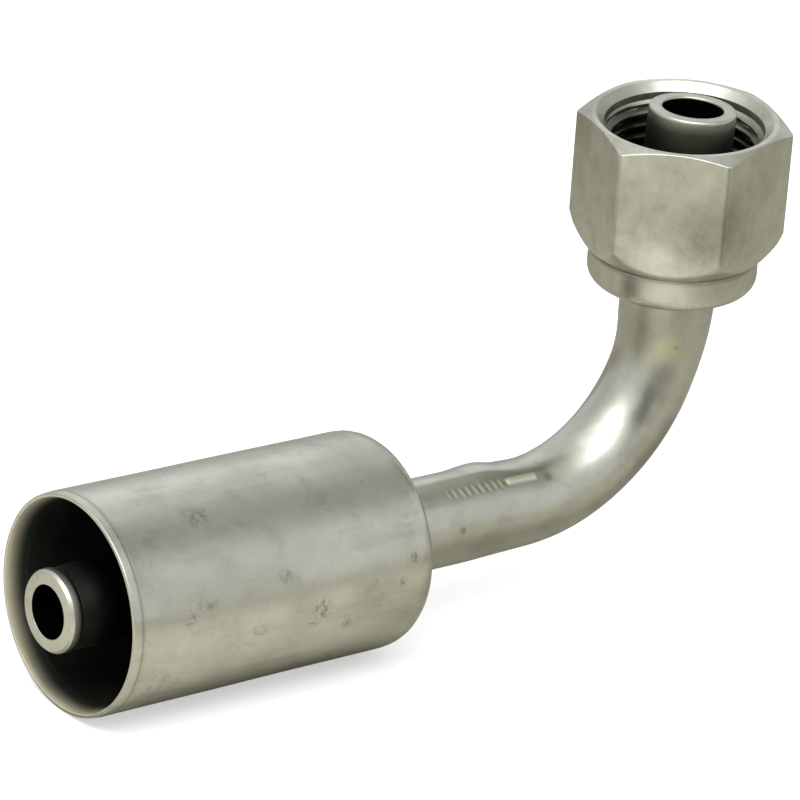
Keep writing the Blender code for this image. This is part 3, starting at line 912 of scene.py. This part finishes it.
# ---------------------------------------------------------------- floor and bounce card
FLOOR_SIZE = 6.0               # metres from the middle to each side
FLOOR_GLOW = 0.50
CARD_HEIGHT = 0.01 * MM
CARD_RUN = (0.65, 0.76)        # the card's tone changes along this direction
CARD_LIGHT = (0.70, 0.685, 0.60)
CARD_MIDDLE = (0.44, 0.42, 0.35)
CARD_FAR = (0.24, 0.215, 0.165)
CARD_SHADOW_TONE = (0.10, 0.085, 0.06)
CARD_SHADOWS = [                 # painted shadows, darker ovals: middle (x, y), half widths in mm, strength
    ((45, 9), (58, 13), 0.25), ((-30, -2), (38, 12), 0.75), ((24, -20), (26, 14), 0.45),
    ((74, -8), (30, 18), 0.45), ((40, -200), (115, 110), 0.9),
]


def stage_plane(name, height, material):
    """A level square of the floor's size."""
    mesh = bpy.data.meshes.new(name)
    size = FLOOR_SIZE
    corners = [(-size, -size), (size, -size), (size, size), (-size, size)]
    verts = [(x, y, height) for x, y in corners]
    mesh.from_pydata(verts, [], [(0, 1, 2, 3)])
    mesh.materials.append(material)
    plane = bpy.data.objects.new(name, mesh)
    bpy.context.scene.collection.objects.link(plane)
    return plane


def floor_material():
    """Pale and dull, with a faint glow."""
    n = Nodes("pale_floor")
    tone = n.mix(n.noise(6.0, 2.0), (0.62, 0.62, 0.615), (0.60, 0.60, 0.595))
    n.feed(n.shader.inputs["Emission Color"], (0.97, 0.97, 0.965, 1.0))
    n.feed(n.shader.inputs["Emission Strength"], FLOOR_GLOW)
    return n.finish(tone, 0.0, 0.8)


def card_material():
    """Soft warm tones, darker away from the camera's side, with painted shadows in a few ovals.
    """
    n = Nodes("bounce_card")
    along = n.math("ADD", n.math("MULTIPLY", n.axis("X"), CARD_RUN[0]),
                   n.math("MULTIPLY", n.axis("Y"), CARD_RUN[1]))
    tone = n.mix(n.spread(along, -0.075, 0.03), CARD_LIGHT, CARD_MIDDLE)
    tone = n.mix(n.spread(along, 0.085, 0.17), tone, CARD_FAR)

    def oval(middle, half, strength):
        """strength at the middle, fading to nothing a little past the half widths."""
        parts = []
        for axis, centre, reach in zip("XY", middle, half):
            off = n.math("SUBTRACT", n.axis(axis), centre * MM)
            parts.append(n.math("POWER", n.math("DIVIDE", off, reach * MM), 2.0))
        return n.spread(n.math("ADD", *parts), 0.0, 1.6, strength, 0.0)

    for middle, half, strength in CARD_SHADOWS:
        # painted shadows
        tone = n.mix(oval(middle, half, strength), tone, CARD_SHADOW_TONE)
    return n.finish(tone, 0.0, 0.9)


def build_floor():
    """Pale floor, and a warm bounce card lying on it that only shows in the metal."""
    floor = stage_plane("floor", 0.0, floor_material())
    floor.visible_glossy = False
    card = stage_plane("bounce_card", CARD_HEIGHT, card_material())
    card.visible_camera = False
    card.visible_diffuse = False
    card.visible_shadow = False


# ---------------------------------------------------------------- lights
LIGHTS_AIM = (0.0, 0.0, 0.03)
KEY_FROM = (-135, 55)          # azimuth and elevation in degrees
KEY_DISTANCE = 0.9
KEY_WIDE = 1.05
KEY_TALL = 0.38
KEY_POWER = 6.2
WORLD_TINT = (0.99, 1.0, 1.025)
WORLD_PATCHES = [              # azimuth, elevation, full within, gone beyond (degrees), level
    (-16, 53, 6, 26, 0.45), (-112, 4, 17, 25, 0.07), (42, 3, 4, 22, 0.5),
    (-160, 62, 12, 38, 1.5), (-98, 29, 4, 17, 1.9), (155, 62, 6, 26, 1.6),
    (122, 14, 8, 28, 0.75), (51, 28, 5, 16, 1.35),
]


def direction(azimuth, elevation):
    """Unit vector for an azimuth from +X and an elevation, in degrees."""
    a = math.radians(azimuth)
    e = math.radians(elevation)
    return (math.cos(a) * math.cos(e), math.sin(a) * math.cos(e), math.sin(e))


def build_key():
    """One large soft light, high up on the camera's side."""
    data = bpy.data.lights.new("key", "AREA")
    data.shape = "ELLIPSE"
    data.size = KEY_WIDE
    data.size_y = KEY_TALL
    data.energy = KEY_POWER
    light = bpy.data.objects.new("key", data)
    bpy.context.scene.collection.objects.link(light)
    light.location = Vector(LIGHTS_AIM) + Vector(direction(*KEY_FROM)) * KEY_DISTANCE
    aim = Vector(LIGHTS_AIM) - light.location
    light.rotation_euler = aim.to_track_quat("-Z", "Y").to_euler()


def world_patch(tree, coords, azimuth, elevation, inner, outer, value):
    """value inside inner degrees of a direction, 1 beyond outer degrees."""
    dot = tree.nodes.new("ShaderNodeVectorMath")
    dot.operation = "DOT_PRODUCT"
    tree.links.new(coords, dot.inputs[0])
    dot.inputs[1].default_value = direction(azimuth, elevation)
    reach = tree.nodes.new("ShaderNodeMapRange")
    reach.interpolation_type = "SMOOTHSTEP"
    tree.links.new(dot.outputs["Value"], reach.inputs["Value"])
    reach.inputs["From Min"].default_value = math.cos(math.radians(outer))
    reach.inputs["From Max"].default_value = math.cos(math.radians(inner))
    reach.inputs["To Min"].default_value = 1.0
    reach.inputs["To Max"].default_value = value
    return reach.outputs[0]


def build_world():
    """An even white studio with soft brighter and darker patches."""
    world = bpy.data.worlds.new("studio")
    bpy.context.scene.world = world
    world.use_nodes = True
    tree = world.node_tree
    tree.nodes["Background"].inputs["Strength"].default_value = 1.0
    coords = tree.nodes.new("ShaderNodeTexCoord").outputs["Generated"]
    level = world_patch(tree, coords, *WORLD_PATCHES[0])
    for spec in WORLD_PATCHES[1:]:
        factor = world_patch(tree, coords, *spec)
        node = tree.nodes.new("ShaderNodeMath")
        node.operation = "MULTIPLY"
        tree.links.new(level, node.inputs[0])
        tree.links.new(factor, node.inputs[1])
        level = node.outputs[0]
    tint = tree.nodes.new("ShaderNodeVectorMath")
    tint.operation = "SCALE"
    tint.inputs[0].default_value = WORLD_TINT
    tree.links.new(level, tint.inputs["Scale"])
    tree.links.new(tint.outputs[0], tree.nodes["Background"].inputs["Color"])


# ---------------------------------------------------------------- camera
VIEW_ANGLES = (-40.757, 22.854, 6.5985)    # azimuth, elevation and roll in degrees
VIEW_CENTRE = (7.67, 0.0, 34.30)
VIEW_SLIDE = (-8.24, -0.31)                # moves the aim to the right and up in the picture
VIEW_DISTANCE = 694.4
LENS = 222.69


def build_camera():
    azimuth, elevation, roll = [math.radians(v) for v in VIEW_ANGLES]
    back = Vector((math.sin(azimuth) * math.cos(elevation),
                   -math.cos(azimuth) * math.cos(elevation), math.sin(elevation)))
    level = Vector((math.cos(azimuth), math.sin(azimuth), 0.0))
    rise = back.cross(level)
    right = level * math.cos(roll) + rise * math.sin(roll)
    up = rise * math.cos(roll) - level * math.sin(roll)
    aim = Vector(VIEW_CENTRE) + right * VIEW_SLIDE[0] + up * VIEW_SLIDE[1]
    place = (aim + back * VIEW_DISTANCE) * MM
    data = bpy.data.cameras.new("camera")
    data.sensor_width = 36.0
    data.lens = LENS
    data.clip_start = 0.01
    camera = bpy.data.objects.new("camera", data)
    bpy.context.scene.collection.objects.link(camera)
    turn = Matrix((right, up, back)).transposed().to_4x4()
    camera.matrix_world = Matrix.Translation(place) @ turn
    bpy.context.scene.camera = camera


build_floor()
build_key()
build_world()
build_camera()
bpy.context.scene.view_settings.view_transform = "Standard"
